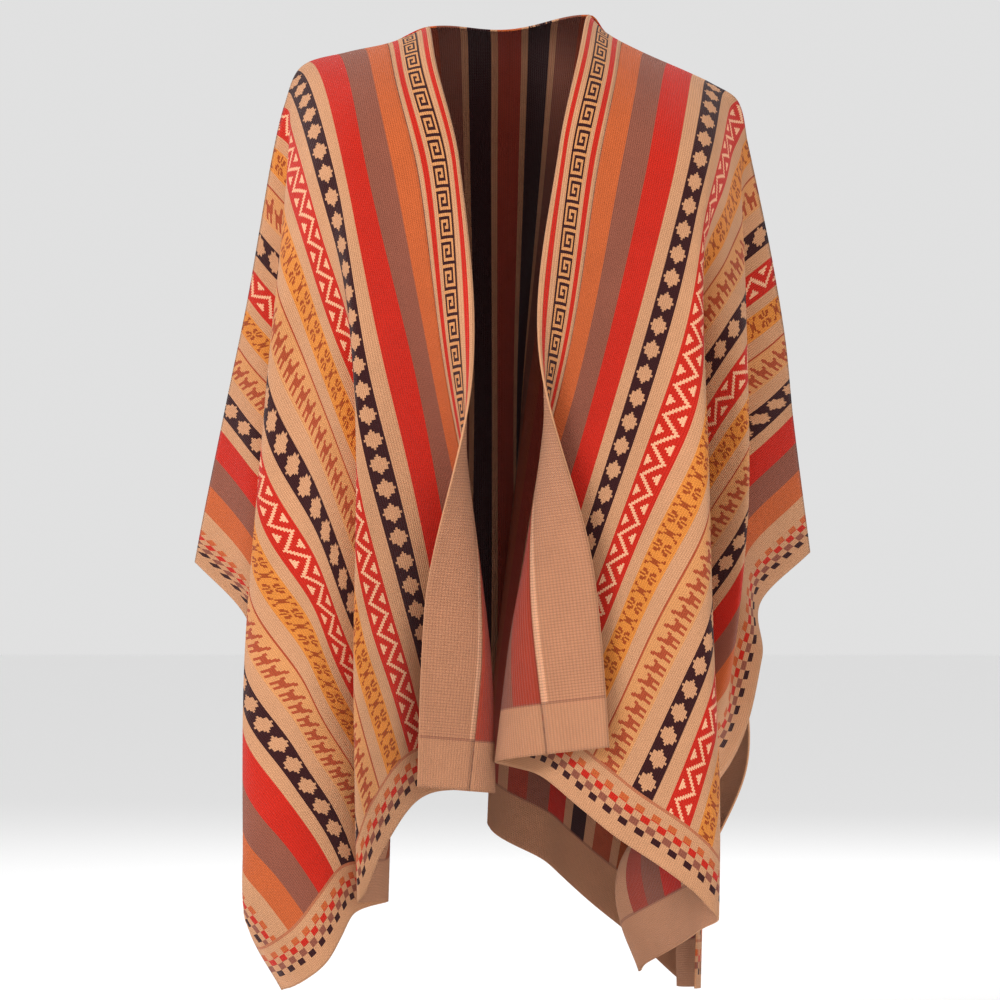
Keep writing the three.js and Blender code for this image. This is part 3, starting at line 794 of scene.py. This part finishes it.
def build_front(settings, side):
    """A front panel and its band, made from one surface and parted at the seam."""
    panel = PANELS[side]
    spacing = millimetres(settings.spacing)
    band = even_steps(0, BAND - SEAM / 2, spacing)
    front = even_steps(BAND + SEAM / 2, HALF_WIDTH, spacing)
    across = np.concatenate([band, front])
    downs = even_steps(0, 1, spacing / LENGTH)
    grid = surface(panel, across, downs, millimetres(settings.ripple))
    normals = directions(grid, panel, across)
    above = height_above_hem(grid)
    seam = len(band)
    for name, part, looks, slot_name in [
        ("band", slice(0, seam), (band_material, band_reverse), "band_knit"),
        ("front", slice(seam, None), (panel_material, panel_reverse), "panel_knit"),
    ]:
        piece = shell_object(
            f"{name}_{side}_cloth", grid[:, part], normals[:, part], across[part],
            above[:, part], millimetres(settings.wall), [look(settings) for look in looks])
        mark_piece(piece, f"{name}_{side}")


def build_back(settings):
    """The back panel. Its stripes count from the neck ends of the shoulder lines outwards."""
    panel = PANELS["back"]
    reach = HALF_WIDTH + NECK_HALF
    spacing = millimetres(settings.spacing)
    across = even_steps(-reach, reach, spacing * BACK_SPACING)
    downs = even_steps(0, 1, spacing / LENGTH)
    grid = surface(panel, across, downs, millimetres(settings.ripple))
    normals = directions(grid, panel, across)
    piece = shell_object(
        "back_cloth", grid, normals, np.abs(across) - NECK_HALF, height_above_hem(grid),
        millimetres(settings.wall), [panel_material(settings), panel_reverse(settings)])
    mark_piece(piece, "back")


class PonchoSettings(bpy.types.PropertyGroup):
    """Sizes of the cloth."""

    wall: bpy.props.FloatProperty(
        name="Wall", description="Thickness of the knitted cloth",
        default=2 * MM, unit="LENGTH", precision=4)
    spacing: bpy.props.FloatProperty(
        name="Spacing", description="Width of a face of the mesh",
        default=4 * MM, unit="LENGTH", precision=4)
    stitch: bpy.props.FloatProperty(
        name="Stitch", description="Width of a stitch",
        default=2.3 * MM, unit="LENGTH", precision=4)
    relief: bpy.props.FloatProperty(
        name="Relief", description="Strength of the knit bump",
        default=0.8, subtype="FACTOR")
    ripple: bpy.props.FloatProperty(
        name="Ripple", description="Height of the small waves of the cloth",
        default=0.9 * MM, unit="LENGTH", precision=4)


class PonchoColours(bpy.types.PropertyGroup):
    """Colours of the yarns."""

    __annotations__ = {
        name: bpy.props.FloatVectorProperty(
            name=name.title(), description=f"Colour of the {name} yarn",
            default=linear_colour(levels), subtype="COLOR", size=4, min=0, max=1)
        for name, levels in COLOURS.items()
    }


class PONCHO_OT_right_front(bpy.types.Operator):
    """Builds the right front panel and its band"""

    bl_idname = "poncho.right_front"
    bl_label = "Right Front"

    def execute(self, context):
        build_front(context.scene.poncho, "right")
        return {"FINISHED"}


class PONCHO_OT_left_front(bpy.types.Operator):
    """Builds the left front panel and its band"""

    bl_idname = "poncho.left_front"
    bl_label = "Left Front"

    def execute(self, context):
        build_front(context.scene.poncho, "left")
        return {"FINISHED"}


class PONCHO_OT_back(bpy.types.Operator):
    """Builds the back panel"""

    bl_idname = "poncho.back"
    bl_label = "Back"

    def execute(self, context):
        build_back(context.scene.poncho)
        return {"FINISHED"}


# The stage, in metres and watts
FLOOR_SIZE = 30
FLOOR_HEIGHT = -1.03
FLOOR_COLOUR = (0.95, 0.95, 0.95, 1)
FLOOR_ROUGHNESS = 0.9
WORLD_STRENGTH = 0.75
LIGHT_TARGET = (0, 0, -0.45)
Light = namedtuple("Light", "name place size power")
LIGHTS = [
    Light("key_light", (-2.2, -2.2, 1.3), 1.3, 66),
    Light("fill_light", (2.2, -2.4, 0.6), 2.6, 14),
    Light("back_light", (0.6, 2.6, 1.6), 2.4, 40),
]
CAMERA_PLACE = (-0.012, -5.62, -0.455)
CAMERA_TARGET = (-0.012, 0, -0.455)
FOCAL_LENGTH = 200   # in the camera's own millimetres


def aim_at(thing, target):
    """Turns a camera or light so that it looks at the target."""
    way = Vector(target) - Vector(thing.location)
    thing.rotation_euler = way.to_track_quat("-Z", "Y").to_euler()


def area_light(light):
    """A square soft light, turned to the middle of the poncho."""
    lamp = bpy.data.lights.new(light.name, "AREA")
    lamp.size = light.size
    lamp.energy = light.power
    holder = bpy.data.objects.new(light.name, lamp)
    holder.location = light.place
    aim_at(holder, LIGHT_TARGET)
    bpy.context.scene.collection.objects.link(holder)
    return holder


def new_floor():
    """A plain pale floor, some way below the hem."""
    bpy.ops.mesh.primitive_plane_add(size=FLOOR_SIZE, location=(0, 0, FLOOR_HEIGHT))
    floor = bpy.context.active_object
    floor.name = "floor"
    pale = bpy.data.materials.new("pale_floor")
    pale.use_nodes = True
    shader = pale.node_tree.nodes["Principled BSDF"]
    shader.inputs["Base Color"].default_value = FLOOR_COLOUR
    shader.inputs["Roughness"].default_value = FLOOR_ROUGHNESS
    floor.data.materials.append(pale)
    return floor


def new_world():
    """Even white light from all sides."""
    world = bpy.data.worlds.new("studio")
    world.use_nodes = True
    background = world.node_tree.nodes["Background"]
    background.inputs["Color"].default_value = (1, 1, 1, 1)
    background.inputs["Strength"].default_value = WORLD_STRENGTH
    return world


def new_camera():
    """A camera with a long lens, level with the middle of the poncho."""
    lens = bpy.data.cameras.new("camera")
    lens.lens = FOCAL_LENGTH
    camera = bpy.data.objects.new("camera", lens)
    camera.location = CAMERA_PLACE
    aim_at(camera, CAMERA_TARGET)
    bpy.context.scene.collection.objects.link(camera)
    return camera


class PONCHO_OT_stage(bpy.types.Operator):
    """Sets up the floor, the soft lights and the camera"""

    bl_idname = "poncho.stage"
    bl_label = "Stage"

    def execute(self, context):
        scene = context.scene
        new_floor()
        [area_light(light) for light in LIGHTS]
        scene.world = new_world()
        scene.camera = new_camera()
        scene.view_settings.view_transform = "Standard"
        return {"FINISHED"}


class PONCHO_PT_panel(bpy.types.Panel):
    """Sidebar panel with the cloth's sizes and a button for each piece"""

    bl_idname = "PONCHO_PT_panel"
    bl_label = "Poncho"
    bl_space_type = "VIEW_3D"
    bl_region_type = "UI"
    bl_category = "Poncho"

    def draw(self, context):
        layout = self.layout
        for name in PonchoSettings.__annotations__:
            layout.prop(context.scene.poncho, name)
        for name in PonchoColours.__annotations__:
            layout.prop(context.scene.poncho_colours, name)
        for operator in PIECES:
            layout.operator(operator.bl_idname)


PIECES = (
    PONCHO_OT_right_front,
    PONCHO_OT_left_front,
    PONCHO_OT_back,
    PONCHO_OT_stage,
)
CLASSES = (PonchoSettings, PonchoColours, *PIECES, PONCHO_PT_panel)


def register():
    for cls in CLASSES:
        bpy.utils.register_class(cls)
    bpy.types.Scene.poncho = bpy.props.PointerProperty(type=PonchoSettings)
    bpy.types.Scene.poncho_colours = bpy.props.PointerProperty(type=PonchoColours)


def unregister():
    del bpy.types.Scene.poncho_colours
    del bpy.types.Scene.poncho
    for cls in reversed(CLASSES):
        bpy.utils.unregister_class(cls)


def main():
    """Builds the pieces in order, then the stage."""
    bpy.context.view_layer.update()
    register()
    bpy.ops.poncho.right_front()
    bpy.ops.poncho.left_front()
    bpy.ops.poncho.back()
    bpy.ops.poncho.stage()


if __name__ == "__main__":
    main()
